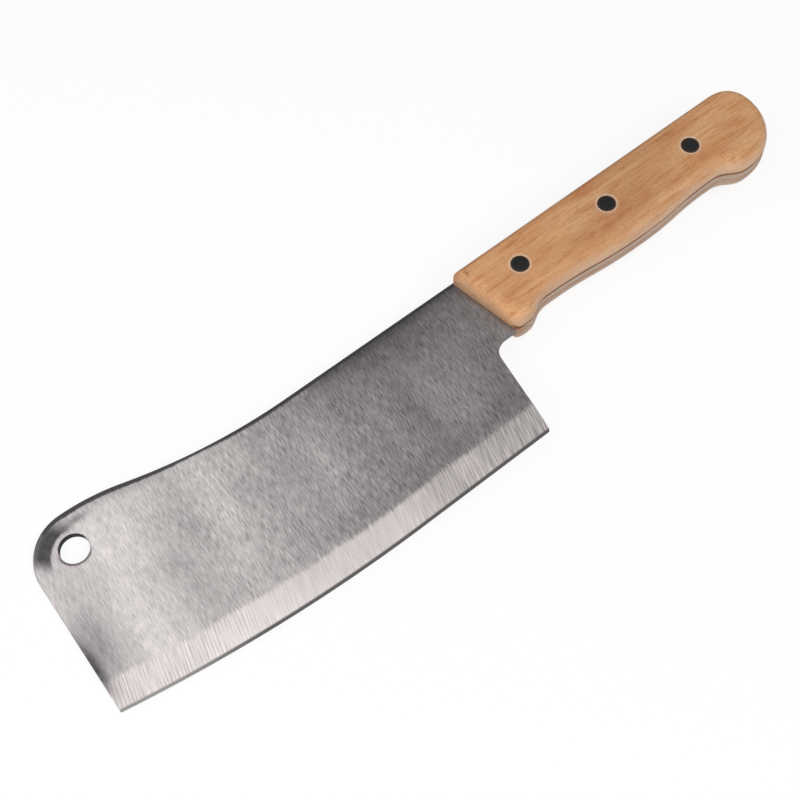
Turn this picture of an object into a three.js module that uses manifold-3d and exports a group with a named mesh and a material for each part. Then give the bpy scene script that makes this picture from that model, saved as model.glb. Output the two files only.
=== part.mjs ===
// A cleaver with a full-tang handle of two riveted wooden scales, lying on its side.
// Millimetres and degrees. While it is drawn, X runs from the front of the handle to the butt,
// Y points from the cutting edge to the spine, Z goes through the thickness, and the origin is
// where the handle's front meets the spine line, halfway through the steel.

import * as THREE from 'three';
import { mergeVertices } from 'three/addons/utils/BufferGeometryUtils.js';
import Module from 'manifold-3d';

const wasm = await Module();
wasm.setup();

// Steel sheet and the blade's outline
const sheetThickness = 2.5;
const bladeReach = 160.2; // handle front to the foremost point of the round front corner
const cornerRadius = 16.1;
const crestHeight = 11; // rise of the spine above its straight stretch
const crestRadius = 75;
const sweepRadius = 199; // hollow stretch between the straight spine and the crest
const frontLean = 2.2;
const neckStep = 0.3; // the neck's underside lies this far above the bottom of the handle's lobe
const heelSetback = 4.2; // handle front to the heel line, at the neck
const heelLean = 7.8;
const heelFillet = 6;

// Cutting edge and its grind
const heelDepth = 60; // spine to the cutting edge at the heel
const edgeStraight = 50;
const edgeLean = 0.6;
const edgeRadius = 540;
const edgeThickness = 0.14;
const honeHeight = 1;
const honeThickness = 0.6; // thickness where the honed edge ends
const bevelHeight = 10;
const grindAllowance = 6; // steel of the blank that the grind takes off

// Hanging hole
const hangingHoleRadius = 4.75;
const hangingHoleBack = 14; // behind the foremost point of the front corner
const hangingHoleDepth = 1.1; // below the spine line
const hangingHoleChamfer = 0.4;

// Handle outline, from the front to the butt
const frontTilt = 11.2; // the front of the handle runs back towards the belly
const frontToLobe = 8.4;
const lobeDepth = 26.6;
const lobeToHollow = 12.6;
const hollowDepth = 22.7;
const hollowToBelly = 36;
const bellyDepth = 24.8;
const bellyToWaist = 32;
const waistDepth = 23;
const waistToHook = 17.2;
const hookDepth = 26.9;
const hookToButt = 15.6;
const buttDepth = 10.2; // spine to the rearmost point of the butt
const buttShoulder = 10.4; // rearmost point to where the straight top ends
const buttRise = 0.6; // rise of the straight top from the front to its end
const buttFullness = 0.6;

// Scales
const scaleThickness = 6.8;
const spineRounding = 3;
const bellyRounding = 4.5;
const frontRounding = 4.5;
const frontStock = 10; // wood that the front's rounding takes off
const tangSetback = 0.2; // the steel lies this far inside the outline of the wood

// Rivets
const rivetPlaces = ['front', 'middle', 'rear'];
const firstRivet = 19.1; // handle front to the front rivet
const rivetPitch = 36.7;
const rivetDepth = 11.3; // spine to the rivets' axis
const headRadius = 3;
const headThickness = 1.8;
const tubeRadius = 2.1;
const pinRadius = 1.4;
const tubeEndGap = 1; // between the tube's end and the pin's head
const boreFloor = 1; // steel left between the tube's bore and the outside of its head
const pinEndGap = 0.5; // between the pin's end and the bottom of the bore
const headClearance = 0.05;
const shankClearance = 0.1;
const pinClearance = 0.05;

// Fineness of the round surfaces
const rivetSegments = 32;
const hangingHoleSegments = 48;
const curveSegments = 18;
const roundingSteps = 6;
const edgeSteps = 36;

// Looks
const steelLook = { color: 0x9a9896, roughness: 0.38, metalness: 1 };
const woodLook = { color: 0xc4966e, roughness: 0.55, metalness: 0 };
const rivetLook = { color: 0x1b2326, roughness: 0.45, metalness: 0.6 };

const radians = THREE.MathUtils.degToRad;
const halfSheet = sheetThickness / 2;
const scaleFace = halfSheet + scaleThickness;
const neckDepth = lobeDepth - neckStep;
const lobeX = frontToLobe;
const hollowX = lobeX + lobeToHollow;
const bellyX = hollowX + hollowToBelly;
const waistX = bellyX + bellyToWaist;
const hookX = waistX + waistToHook;
const buttX = hookX + hookToButt;
const heelSlope = Math.tan(radians(heelLean));
const frontSlope = Math.tan(radians(frontTilt));

// A closed geometry as a solid that can be joined and cut
function solidOf(geometry) {
  geometry.deleteAttribute('normal');
  geometry.deleteAttribute('uv');
  const merged = mergeVertices(geometry);
  return new wasm.Manifold(new wasm.Mesh({
    numProp: 3,
    vertProperties: Float32Array.from(merged.attributes.position.array),
    triVerts: Uint32Array.from(merged.index.array),
  }));
}

function meshOf(name, solid, look) {
  const { vertProperties, triVerts } = solid.getMesh();
  const geometry = new THREE.BufferGeometry();
  geometry.setAttribute('position', new THREE.BufferAttribute(vertProperties, 3));
  geometry.setIndex(new THREE.BufferAttribute(triVerts, 1));
  geometry.computeVertexNormals();
  const mesh = new THREE.Mesh(geometry, new THREE.MeshStandardMaterial(look));
  mesh.name = name;
  return mesh;
}

// A flat plate, halfway through the steel
function plate(outline, thickness) {
  const geometry = new THREE.ExtrudeGeometry(outline, {
    depth: thickness,
    bevelEnabled: false,
    curveSegments,
  });
  geometry.translate(0, 0, -thickness / 2);
  return solidOf(geometry);
}

// A solid turned about an axis along Z, from pairs of radius and height
function turned(profile, place, segments) {
  const points = profile.map(([radius, height]) => new THREE.Vector2(radius, height));
  const geometry = new THREE.LatheGeometry(points, segments);
  geometry.rotateX(Math.PI / 2);
  geometry.translate(place.x, place.y, 0);
  return solidOf(geometry);
}

// Each point of an outline that runs anticlockwise, moved inwards by its own distance
function inset(points, distanceAt) {
  return points.map((point, index) => {
    const before = points.at(index - 1);
    const after = points[(index + 1) % points.length];
    const arriving = point.clone().sub(before).normalize();
    const leaving = after.clone().sub(point).normalize();
    const along = arriving.clone().add(leaving).normalize();
    const reach = distanceAt(point) / along.dot(leaving);
    return new THREE.Vector2(point.x - along.y * reach, point.y + along.x * reach);
  });
}

// A plate from height bottom to height top, with the edge of its top rounded over
function roundedPlate(points, roundingAt, bottom, top) {
  const count = points.length;
  const positions = [];
  const index = [];
  points.forEach((point) => positions.push(point.x, point.y, bottom));
  let ring = points;
  for (let step = 0; step <= roundingSteps; step += 1) {
    const angle = (step / roundingSteps) * (Math.PI / 2);
    ring = inset(points, (point) => roundingAt(point) * (1 - Math.cos(angle)));
    ring.forEach((point, at) => {
      const height = top - roundingAt(points[at]) * (1 - Math.sin(angle));
      positions.push(point.x, point.y, height);
    });
    for (let at = 0; at < count; at += 1) {
      const low = step * count + at;
      const lowNext = step * count + ((at + 1) % count);
      index.push(low, lowNext, lowNext + count, low, lowNext + count, low + count);
    }
  }
  const lastRing = (roundingSteps + 1) * count;
  THREE.ShapeUtils.triangulateShape(points, []).forEach(([a, b, c]) => index.push(a, c, b));
  THREE.ShapeUtils.triangulateShape(ring, []).forEach(([a, b, c]) => {
    index.push(lastRing + a, lastRing + b, lastRing + c);
  });
  const geometry = new THREE.BufferGeometry();
  geometry.setAttribute('position', new THREE.Float32BufferAttribute(positions, 3));
  geometry.setIndex(index);
  return solidOf(geometry);
}

// Cutting edge, as the depth below the spine line at each place along the blade
function edgeDepth(x) {
  const heelX = -heelSetback - (heelDepth - neckDepth) * heelSlope;
  const run = heelX - x;
  const curved = Math.max(0, run - edgeStraight);
  const straightDepth = heelDepth + run * Math.tan(radians(edgeLean));
  return straightDepth - edgeRadius + Math.sqrt(edgeRadius ** 2 - curved ** 2);
}

class CuttingEdge extends THREE.Curve {
  constructor(startX, endX) {
    super();
    this.startX = startX;
    this.endX = endX;
  }

  getPoint(t, target = new THREE.Vector3()) {
    const x = THREE.MathUtils.lerp(this.startX, this.endX, t);
    return target.set(x, -edgeDepth(x), 0);
  }
}

// The blade's section, swept along the cutting edge: X across the thickness, Y up from the edge
function groundSection(startX, endX) {
  const top = heelDepth + bevelHeight + crestHeight;
  const section = new THREE.Shape();
  section.moveTo(-edgeThickness / 2, 0);
  section.lineTo(edgeThickness / 2, 0);
  section.lineTo(honeThickness / 2, honeHeight);
  section.lineTo(halfSheet, bevelHeight);
  section.lineTo(halfSheet, top);
  section.lineTo(-halfSheet, top);
  section.lineTo(-halfSheet, bevelHeight);
  section.lineTo(-honeThickness / 2, honeHeight);
  section.closePath();
  return solidOf(new THREE.ExtrudeGeometry(section, {
    steps: edgeSteps,
    bevelEnabled: false,
    extrudePath: new CuttingEdge(startX, endX),
  }));
}

function groundBlade() {
  const quarter = Math.PI / 2;
  const bend = Math.acos(1 - crestHeight / (sweepRadius + crestRadius));
  const cornerX = cornerRadius - bladeReach;
  const sweepX = cornerX + (sweepRadius + crestRadius) * Math.sin(bend);
  const lean = radians(frontLean);
  const frontX = cornerX - cornerRadius * Math.cos(lean);
  const frontY = crestHeight - cornerRadius * (1 - Math.sin(lean));
  const bottom = -heelDepth - bevelHeight;
  const footX = frontX + (bottom - frontY) * Math.tan(lean);
  const filletTurn = quarter - radians(heelLean);
  const filletX = -heelSetback + heelFillet * Math.tan(filletTurn / 2);
  const neckEnd = lobeX;

  const outline = new THREE.Shape();
  outline.moveTo(neckEnd, 0);
  outline.lineTo(sweepX, 0);
  outline.absarc(sweepX, sweepRadius, sweepRadius, -quarter, -quarter - bend, true);
  outline.absarc(cornerX, crestHeight - crestRadius, crestRadius, quarter - bend, quarter, false);
  outline.absarc(cornerX, crestHeight - cornerRadius, cornerRadius, quarter, 2 * quarter - lean, false);
  outline.lineTo(footX, bottom);
  outline.lineTo(-heelSetback + (bottom + neckDepth) * heelSlope, bottom);
  outline.absarc(filletX, -neckDepth - heelFillet, heelFillet, quarter + filletTurn, quarter, true);
  outline.lineTo(neckEnd, -neckDepth);
  outline.closePath();

  const blank = plate(outline, sheetThickness + grindAllowance);
  const overrun = heelDepth / 2;
  return blank.intersect(groundSection(footX - overrun, neckEnd + overrun));
}

// Handle outline from the given front end, anticlockwise
function handleOutline(frontEnd) {
  const outline = new THREE.Path();
  const swellTo = (x, depth) => {
    const from = outline.currentPoint.clone();
    const middle = (from.x + x) / 2;
    outline.bezierCurveTo(middle, from.y, middle, -depth, x, -depth);
  };
  outline.moveTo(frontEnd, -lobeDepth);
  outline.lineTo(lobeX, -lobeDepth);
  swellTo(hollowX, hollowDepth);
  swellTo(bellyX, bellyDepth);
  swellTo(waistX, waistDepth);
  swellTo(hookX, hookDepth);
  const rearDrop = hookDepth - buttDepth;
  const shoulderX = buttX - buttShoulder;
  outline.bezierCurveTo(
    hookX + hookToButt * buttFullness, -hookDepth,
    buttX, -buttDepth - rearDrop * buttFullness,
    buttX, -buttDepth,
  );
  outline.bezierCurveTo(
    buttX, -buttDepth + (buttDepth + buttRise) * buttFullness,
    shoulderX + buttShoulder * buttFullness, buttRise,
    shoulderX, buttRise,
  );
  outline.lineTo(frontEnd, buttRise * (frontEnd / shoulderX));
  return outline.getPoints(curveSegments);
}

function tang() {
  const frontEnd = lobeDepth * frontSlope;
  const points = inset(handleOutline(frontEnd), () => tangSetback);
  return plate(new THREE.Shape(points), sheetThickness);
}

// The space behind the handle's rounded front, with a margin round the rest of the handle
function frontForm() {
  const margin = frontStock + frontRounding;
  const top = margin;
  const bottom = -Math.max(lobeDepth, bellyDepth, hookDepth) - margin;
  const rear = buttX + margin;
  return [
    new THREE.Vector2(-bottom * frontSlope, bottom),
    new THREE.Vector2(rear, bottom),
    new THREE.Vector2(rear, top),
    new THREE.Vector2(-top * frontSlope, top),
  ];
}

function rivetPlace(index) {
  return new THREE.Vector2(firstRivet + index * rivetPitch, -rivetDepth);
}

function scale() {
  const roundingAt = (point) => {
    const share = THREE.MathUtils.clamp(-point.y / bellyDepth, 0, 1);
    return THREE.MathUtils.lerp(spineRounding, bellyRounding, share);
  };
  const shaped = roundedPlate(handleOutline(-frontStock), roundingAt, halfSheet, scaleFace);
  const front = roundedPlate(frontForm(), () => frontRounding, halfSheet, scaleFace);
  let wood = shaped.intersect(front);
  const holeRadius = tubeRadius + shankClearance;
  const recessRadius = headRadius + headClearance;
  const seat = scaleFace - headThickness;
  rivetPlaces.forEach((_, index) => {
    const hole = turned([
      [0, 0],
      [holeRadius, 0],
      [holeRadius, seat],
      [recessRadius, seat],
      [recessRadius, scaleFace + headThickness],
      [0, scaleFace + headThickness],
    ], rivetPlace(index), rivetSegments);
    wood = wood.subtract(hole);
  });
  return wood;
}

function blade() {
  const hangingHole = new THREE.Vector2(hangingHoleBack - bladeReach, -hangingHoleDepth);
  const chamferTop = hangingHoleRadius + hangingHoleChamfer;
  const chamferStart = halfSheet - hangingHoleChamfer;
  let steel = groundBlade().add(tang());
  steel = steel.subtract(turned([
    [0, -sheetThickness],
    [chamferTop, -sheetThickness],
    [chamferTop, -halfSheet],
    [hangingHoleRadius, -chamferStart],
    [hangingHoleRadius, chamferStart],
    [chamferTop, halfSheet],
    [chamferTop, sheetThickness],
    [0, sheetThickness],
  ], hangingHole, hangingHoleSegments));
  const holeRadius = tubeRadius + shankClearance;
  rivetPlaces.forEach((_, index) => {
    const hole = turned([
      [0, -sheetThickness],
      [holeRadius, -sheetThickness],
      [holeRadius, sheetThickness],
      [0, sheetThickness],
    ], rivetPlace(index), rivetSegments);
    steel = steel.subtract(hole);
  });
  return steel;
}

// The half of a rivet with its head in the upper scale
function rivetTube(place) {
  const seat = scaleFace - headThickness;
  const boreRadius = pinRadius + pinClearance;
  return turned([
    [boreRadius, tubeEndGap - seat],
    [tubeRadius, tubeEndGap - seat],
    [tubeRadius, seat],
    [headRadius, seat],
    [headRadius, scaleFace],
    [0, scaleFace],
    [0, scaleFace - boreFloor],
    [boreRadius, scaleFace - boreFloor],
    [boreRadius, tubeEndGap - seat],
  ], place, rivetSegments);
}

// The half with its head in the lower scale, which goes up into the tube
function rivetPin(place) {
  const seat = headThickness - scaleFace;
  const pinEnd = scaleFace - boreFloor - pinEndGap;
  return turned([
    [0, -scaleFace],
    [headRadius, -scaleFace],
    [headRadius, seat],
    [pinRadius, seat],
    [pinRadius, pinEnd],
    [0, pinEnd],
  ], place, rivetSegments);
}

const knife = new THREE.Group();
const wood = scale();
const lowerScale = meshOf('lower_scale', wood, woodLook);
lowerScale.scale.z = -1;
knife.add(meshOf('blade', blade(), steelLook));
knife.add(meshOf('upper_scale', wood, woodLook));
knife.add(lowerScale);
rivetPlaces.forEach((name, index) => {
  knife.add(meshOf(`${name}_rivet_tube`, rivetTube(rivetPlace(index)), rivetLook));
  knife.add(meshOf(`${name}_rivet_pin`, rivetPin(rivetPlace(index)), rivetLook));
});

// The finished part stands with the middle of its box's underside at the origin
const box = new THREE.Box3().setFromObject(knife);
const middle = box.getCenter(new THREE.Vector3());
knife.position.set(-middle.x, -middle.y, -box.min.z);

const cleaver = new THREE.Group();
cleaver.add(knife);

export default cleaver;
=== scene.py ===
import bmesh
import bpy
import math
from mathutils import Matrix, Vector
from mathutils.geometry import interpolate_bezier


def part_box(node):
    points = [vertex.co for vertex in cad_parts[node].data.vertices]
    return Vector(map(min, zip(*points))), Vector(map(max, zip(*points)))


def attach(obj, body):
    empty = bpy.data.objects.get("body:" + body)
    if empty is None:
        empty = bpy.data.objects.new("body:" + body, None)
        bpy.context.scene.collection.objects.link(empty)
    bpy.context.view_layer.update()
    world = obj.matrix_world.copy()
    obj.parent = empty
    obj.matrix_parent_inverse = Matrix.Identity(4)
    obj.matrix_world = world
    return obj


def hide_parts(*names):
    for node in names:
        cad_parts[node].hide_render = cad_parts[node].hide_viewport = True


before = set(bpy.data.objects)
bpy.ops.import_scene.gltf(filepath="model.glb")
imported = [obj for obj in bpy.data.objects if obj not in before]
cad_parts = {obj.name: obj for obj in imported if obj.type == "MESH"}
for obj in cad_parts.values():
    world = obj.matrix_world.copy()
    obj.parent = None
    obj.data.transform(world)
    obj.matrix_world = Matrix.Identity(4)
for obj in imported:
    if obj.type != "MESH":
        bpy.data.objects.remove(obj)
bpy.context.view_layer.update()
scene = bpy.context.scene
print("frame loaded:", len(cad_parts), "nodes")


# Mesh helpers
def arcPoints(centreX, centreY, radius, startDegrees, endDegrees, steps):
    points = []
    for step in range(steps + 1):
        turn = math.radians(startDegrees + (endDegrees - startDegrees) * step / steps)
        points.append((centreX + radius * math.cos(turn), centreY + radius * math.sin(turn)))
    return points


def addChain(bm, points, z, first=None, last=None):  # a row of vertices joined by edges
    verts = [bm.verts.new((x, y, z)) for x, y in points]
    verts = ([first] if first else []) + verts + ([last] if last else [])
    edges = [bm.edges.new(pair) for pair in zip(verts, verts[1:])]
    return verts, edges


def addTurned(bm, profile, centreX, centreY, steps):  # profile: radius and height pairs
    points = [(centreX + radius, height) for radius, height in profile]
    verts = [bm.verts.new((x, centreY, z)) for x, z in points]
    edges = [bm.edges.new(pair) for pair in zip(verts, verts[1:])]
    bmesh.ops.spin(
        bm, geom=verts + edges, cent=(centreX, centreY, 0), axis=(0, 0, 1),
        angle=math.tau, steps=steps, use_merge=True,
    )
    bmesh.ops.remove_doubles(bm, verts=bm.verts, dist=0.0005)
    loose = [edge for edge in bm.edges if edge.is_wire]
    bmesh.ops.delete(bm, geom=loose, context="EDGES")


def makeObject(name, bm):
    bmesh.ops.recalc_face_normals(bm, faces=bm.faces)
    bmesh.ops.transform(bm, matrix=toRow, verts=bm.verts)
    mesh = bpy.data.meshes.new(name)
    bm.to_mesh(mesh)
    bm.free()
    made = bpy.data.objects.new(name, mesh)
    scene.collection.objects.link(made)
    return made


def addModifier(piece, kind, **settings):
    modifier = piece.modifiers.new(kind.lower(), kind)
    for setting, value in settings.items():
        setattr(modifier, setting, value)


def applyModifiers(piece):
    graph = bpy.context.evaluated_depsgraph_get()
    mesh = bpy.data.meshes.new_from_object(
        piece.evaluated_get(graph), preserve_all_data_layers=True, depsgraph=graph
    )
    piece.modifiers.clear()
    piece.data = mesh
    mesh.name = piece.name


def cutWith(piece, cutter):
    addModifier(piece, "BOOLEAN", object=cutter, operation="DIFFERENCE", solver="EXACT")
    applyModifiers(piece)


def shadeSoft(piece, sharpDegrees):
    piece.data.shade_smooth()
    piece.data.set_sharp_from_angle(angle=math.radians(sharpDegrees))
    addModifier(piece, "WEIGHTED_NORMAL", mode="FACE_AREA", weight=100, keep_sharp=True)
    applyModifiers(piece)


def ease(value, low, high, first, last):  # from the first to the last, gently
    share = min(max((value - low) / (high - low), 0), 1)
    return first + (last - first) * share * share * (3 - 2 * share)


def distanceTo(point, start, end):  # from a point to a stretch of a line
    along = end - start
    share = min(max((point - start).dot(along) / along.length_squared, 0), 1)
    return (point - start - along * share).length


def joinAssembly(piece, replacedNode):
    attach(piece, "root")
    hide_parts(replacedNode)


# Steel blade with its tang. All pieces are drawn in millimetres: x from the handle's front towards
# the butt, y from the straight spine towards the crest, z from the middle of the steel
bladeShape = {
    "reach": 160.2,  # handle front to the foremost point of the round corner
    "cornerRadius": 16.1,
    "crestHeight": 11.0,
    "crestRadius": 75.0,
    "sweepRadius": 199.0,
    "frontLean": 2.2,
    "neckDepth": 26.3,
    "heelSetback": 4.2,
    "heelLean": 7.8,
    "heelFillet": 6.0,
    "heelEase": 0.5,  # takes the point off the heel's lower corner
    "heelDepth": 60.0,
    "edgeStraight": 50.0,
    "edgeLean": 0.6,
    "edgeRadius": 540.0,
    "edgeThickness": 0.14,
    "honeHeight": 1.0,
    "honeThickness": 0.6,
    "bevelHeight": 10.0,
    "fadeHeight": 15.0,  # a row of points clear of the bevel's border
    "rimRounding": 0.3,
    "rimSteps": 4,
    "spineBand": 6.0,  # depth of the ring of faces that carries the dark spine
    "tangSetback": 0.2,
    "holeRadius": 4.75,
    "holeBack": 14.25,  # behind the foremost point of the corner
    "holeDepth": 1.2,
    "holeChamfer": 0.2,
    "arcSteps": 24,
    "edgeSteps": 72,
    "frontZone": -100.0,  # walls ahead of this, below the corner, look like the flat
    "sharpAngle": 25,
}

bladeLow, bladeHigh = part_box("blade")
scaleLow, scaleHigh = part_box("upper_scale")
drawingOrigin = Vector((
    scaleLow.x,
    bladeHigh.y - bladeShape["crestHeight"] * 0.001,
    (bladeLow.z + bladeHigh.z) / 2,
))
toRow = Matrix.Translation(drawingOrigin) @ Matrix.Scale(0.001, 4)
halfSheet = (bladeHigh.z - bladeLow.z) * 500  # millimetres
scaleFace = (scaleHigh.z - drawingOrigin.z) * 1000
heelSlope = math.tan(math.radians(bladeShape["heelLean"]))
holeCentre = (bladeShape["holeBack"] - bladeShape["reach"], -bladeShape["holeDepth"])


def edgeDepth(x):
    shape = bladeShape
    heelX = -shape["heelSetback"] - (shape["heelDepth"] - shape["neckDepth"]) * heelSlope
    run = heelX - x
    curved = max(0.0, run - shape["edgeStraight"])
    straightDepth = shape["heelDepth"] + run * math.tan(math.radians(shape["edgeLean"]))
    return straightDepth - shape["edgeRadius"] + math.sqrt(shape["edgeRadius"] ** 2 - curved ** 2)


def spineLine(inset=0.0):  # from the handle to the foot of the round corner
    shape = bladeShape
    bothRadii = shape["sweepRadius"] + shape["crestRadius"]
    bend = math.degrees(math.acos(1 - shape["crestHeight"] / bothRadii))
    cornerX = shape["cornerRadius"] - shape["reach"]
    sweepX = cornerX + bothRadii * math.sin(math.radians(bend))
    steps = shape["arcSteps"]
    crestY = shape["crestHeight"] - shape["crestRadius"]
    cornerY = shape["crestHeight"] - shape["cornerRadius"]
    points = [(neckEnd, -inset), (0.0, -inset)]
    points += arcPoints(
        sweepX, shape["sweepRadius"], shape["sweepRadius"] + inset, -90, -90 - bend, steps
    )
    points += arcPoints(cornerX, crestY, shape["crestRadius"] - inset, 90 - bend, 90, steps)[1:]
    points += arcPoints(
        cornerX, cornerY, shape["cornerRadius"] - inset, 90, 180 - shape["frontLean"], steps
    )[1:]
    return points


def frontLineX(y):
    footX, footY = spineLine()[-1]
    return footX + (y - footY) * math.tan(math.radians(bladeShape["frontLean"]))


def heelLineX(y):
    return -bladeShape["heelSetback"] + (y + bladeShape["neckDepth"]) * heelSlope


def grindRow(height):  # from the front to the heel, this far above the cutting edge
    ends = []
    for lineX in (frontLineX, heelLineX):
        x = lineX(-bladeShape["heelDepth"])
        for _ in range(6):
            x = lineX(height - edgeDepth(x))
        ends.append(x)
    steps = bladeShape["edgeSteps"]
    ends[1] -= bladeShape["heelEase"] * max(0.0, 1 - height / bladeShape["honeHeight"])
    stations = [ends[0] + (ends[1] - ends[0]) * step / steps for step in range(steps + 1)]
    return [(x, height - edgeDepth(x)) for x in stations]


def tangLine():  # the handle's outline, drawn in a little, from the neck round to the spine
    bm = bmesh.new()
    points = handleLine()
    points[-1] = (neckEnd, handleShape["rise"] * neckEnd / handleShape["shoulder"])
    _, edges = addChain(bm, points, 0)
    bm.verts.ensure_lookup_table()
    edges.append(bm.edges.new((bm.verts[-1], bm.verts[0])))
    face = bmesh.ops.contextual_create(bm, geom=edges)["faces"][0]
    bm.normal_update()
    bmesh.ops.inset_region(
        bm, faces=[face], thickness=bladeShape["tangSetback"], use_boundary=True, use_even_offset=True
    )
    inner = [(vert.co.x, vert.co.y) for vert in face.verts]
    if face.normal.z < 0:
        inner.reverse()
    bm.free()
    start = min(range(len(inner)), key=lambda at: sum(inner[at]))
    inner = inner[start:] + inner[:start]
    return inner[1:-1]  # without the two corners at the handle's front


def makeBlade():
    shape = bladeShape
    bm = bmesh.new()
    grind = (
        (0.0, shape["edgeThickness"] / 2),
        (shape["honeHeight"], shape["honeThickness"] / 2),
        (shape["bevelHeight"], halfSheet),
        (shape["fadeHeight"], halfSheet),
    )
    rows = [addChain(bm, grindRow(height), z) for height, z in grind]
    for (_, low), (_, high) in zip(rows, rows[1:]):
        bmesh.ops.bridge_loops(bm, edges=low + high)
    fadeVerts, fadeEdges = rows[-1]
    turn = 90 - shape["heelLean"]
    filletX = -shape["heelSetback"] + shape["heelFillet"] * math.tan(math.radians(turn / 2))
    fillet = arcPoints(
        filletX, -shape["neckDepth"] - shape["heelFillet"], shape["heelFillet"],
        90 + turn, 90, shape["arcSteps"] // 2,
    )
    outerVerts, outerEdges = addChain(bm, spineLine(), halfSheet)
    innerVerts, innerEdges = addChain(bm, spineLine(shape["spineBand"]), halfSheet)
    bmesh.ops.bridge_loops(bm, edges=outerEdges + innerEdges)
    neck = fillet + [(neckEnd, -shape["neckDepth"])] + tangLine()
    _, tangEdges = addChain(bm, neck, halfSheet, fadeVerts[-1], outerVerts[0])
    bandEnds = [bm.edges.get((outerVerts[at], innerVerts[at])) for at in (0, -1)]
    frontEdge = bm.edges.new((outerVerts[-1], fadeVerts[0]))
    bmesh.ops.contextual_create(bm, geom=fadeEdges + tangEdges + innerEdges + bandEnds + [frontEdge])
    grown = bmesh.ops.extrude_face_region(bm, geom=bm.faces[:])["geom"]
    for vert in grown:
        if isinstance(vert, bmesh.types.BMVert):
            vert.co.z = -vert.co.z
    bmesh.ops.recalc_face_normals(bm, faces=bm.faces)

    rim = []
    for edge in bm.edges:
        flat = all(abs(abs(vert.co.z) - halfSheet) < 0.001 for vert in edge.verts)
        level = abs(edge.verts[0].co.z - edge.verts[1].co.z) < 0.001
        if flat and level and edge.calc_face_angle(0) > 1.5:  # nearly square
            rim.append(edge)
    rounded = bmesh.ops.bevel(
        bm, geom=rim, offset=shape["rimRounding"], offset_type="OFFSET", segments=shape["rimSteps"],
        profile=0.5, affect="EDGES", material=-1, clamp_overlap=False,
    )["faces"]
    cornerFoot = spineLine()[-1][1]
    for face in set(rounded) | {face for face in bm.faces if abs(face.normal.z) < 0.5}:
        middle = face.calc_center_median()
        inFront = middle.x < shape["frontZone"] and middle.y < cornerFoot
        face.material_index = 2 if middle.x > neckEnd else 0 if inFront else 1
    blade = makeObject("groundBlade", bm)

    bits = bmesh.new()
    wide = shape["holeRadius"] + shape["holeChamfer"]
    start = halfSheet - shape["holeChamfer"]
    beyond = 2 * halfSheet
    addTurned(bits, (
        (0, -beyond), (wide, -beyond), (wide, -halfSheet), (shape["holeRadius"], -start),
        (shape["holeRadius"], start), (wide, halfSheet), (wide, beyond), (0, beyond),
    ), *holeCentre, rivetShape["turnSteps"])
    shank = rivetShape["tubeRadius"] + rivetShape["shankClearance"]
    for x, y in rivetCentres():
        addTurned(
            bits, ((0, -beyond), (shank, -beyond), (shank, beyond), (0, beyond)),
            x, y, rivetShape["turnSteps"],
        )
    cutter = makeObject("bladeDrill", bits)
    for finish in (steelBody, steelSpine, steelTang):
        cutter.data.materials.append(finish)
        blade.data.materials.append(finish)
    for face in cutter.data.polygons:
        face.material_index = 1
    cutWith(blade, cutter)
    bpy.data.objects.remove(cutter)
    shadeSoft(blade, shape["sharpAngle"])

    heights = blade.data.attributes.new("edgeHeight", "FLOAT", "POINT")
    depths = blade.data.attributes.new("spineDepth", "FLOAT", "POINT")
    drawn = toRow.inverted()
    spinePoints = [Vector(point) for point in spineLine()]
    for vert, height, depth in zip(blade.data.vertices, heights.data, depths.data):
        point = drawn @ vert.co
        height.value = point.y + edgeDepth(max(point.x, -shape["reach"] - 5))
        nearest = min(distanceTo(point.xy, *pair) for pair in zip(spinePoints, spinePoints[1:]))
        depth.value = min(nearest, shape["spineBand"])
    joinAssembly(blade, "blade")
    print("blade:", len(blade.data.polygons), "faces")


# Wooden scales
handleShape = {
    "frontTilt": 11.2,
    "lobe": (8.4, 27.1),  # places along the belly: x, and depth below the spine
    "hollow": (21.0, 23.2),
    "belly": (60.0, 25.3),
    "waist": (92.0, 23.45),
    "hook": (104.6, 27.6),
    "butt": (122.3, 10.8),
    "shoulder": 111.4,  # where the straight top ends
    "rise": 0.45,
    "fullness": 0.58,  # of the lower and the upper curve at the butt
    "topFullness": 0.61,
    "curveSteps": 18,
    "spineRounding": 2.2,
    "bellyRounding": 5.6,
    "bellyFull": 40.0,  # behind this the belly has its full rounding
    "frontRounding": 4.5,
    "topCorner": 1.0,
    "lowCorner": 2.6,
    "innerEdge": 0.3,  # eased edge against the steel
    "innerFront": 0.06,
    "roundingSteps": 10,
    "sharpAngle": 32,
}

frontSlope = math.tan(math.radians(handleShape["frontTilt"]))
neckEnd = handleShape["lobe"][1] * frontSlope


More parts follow.
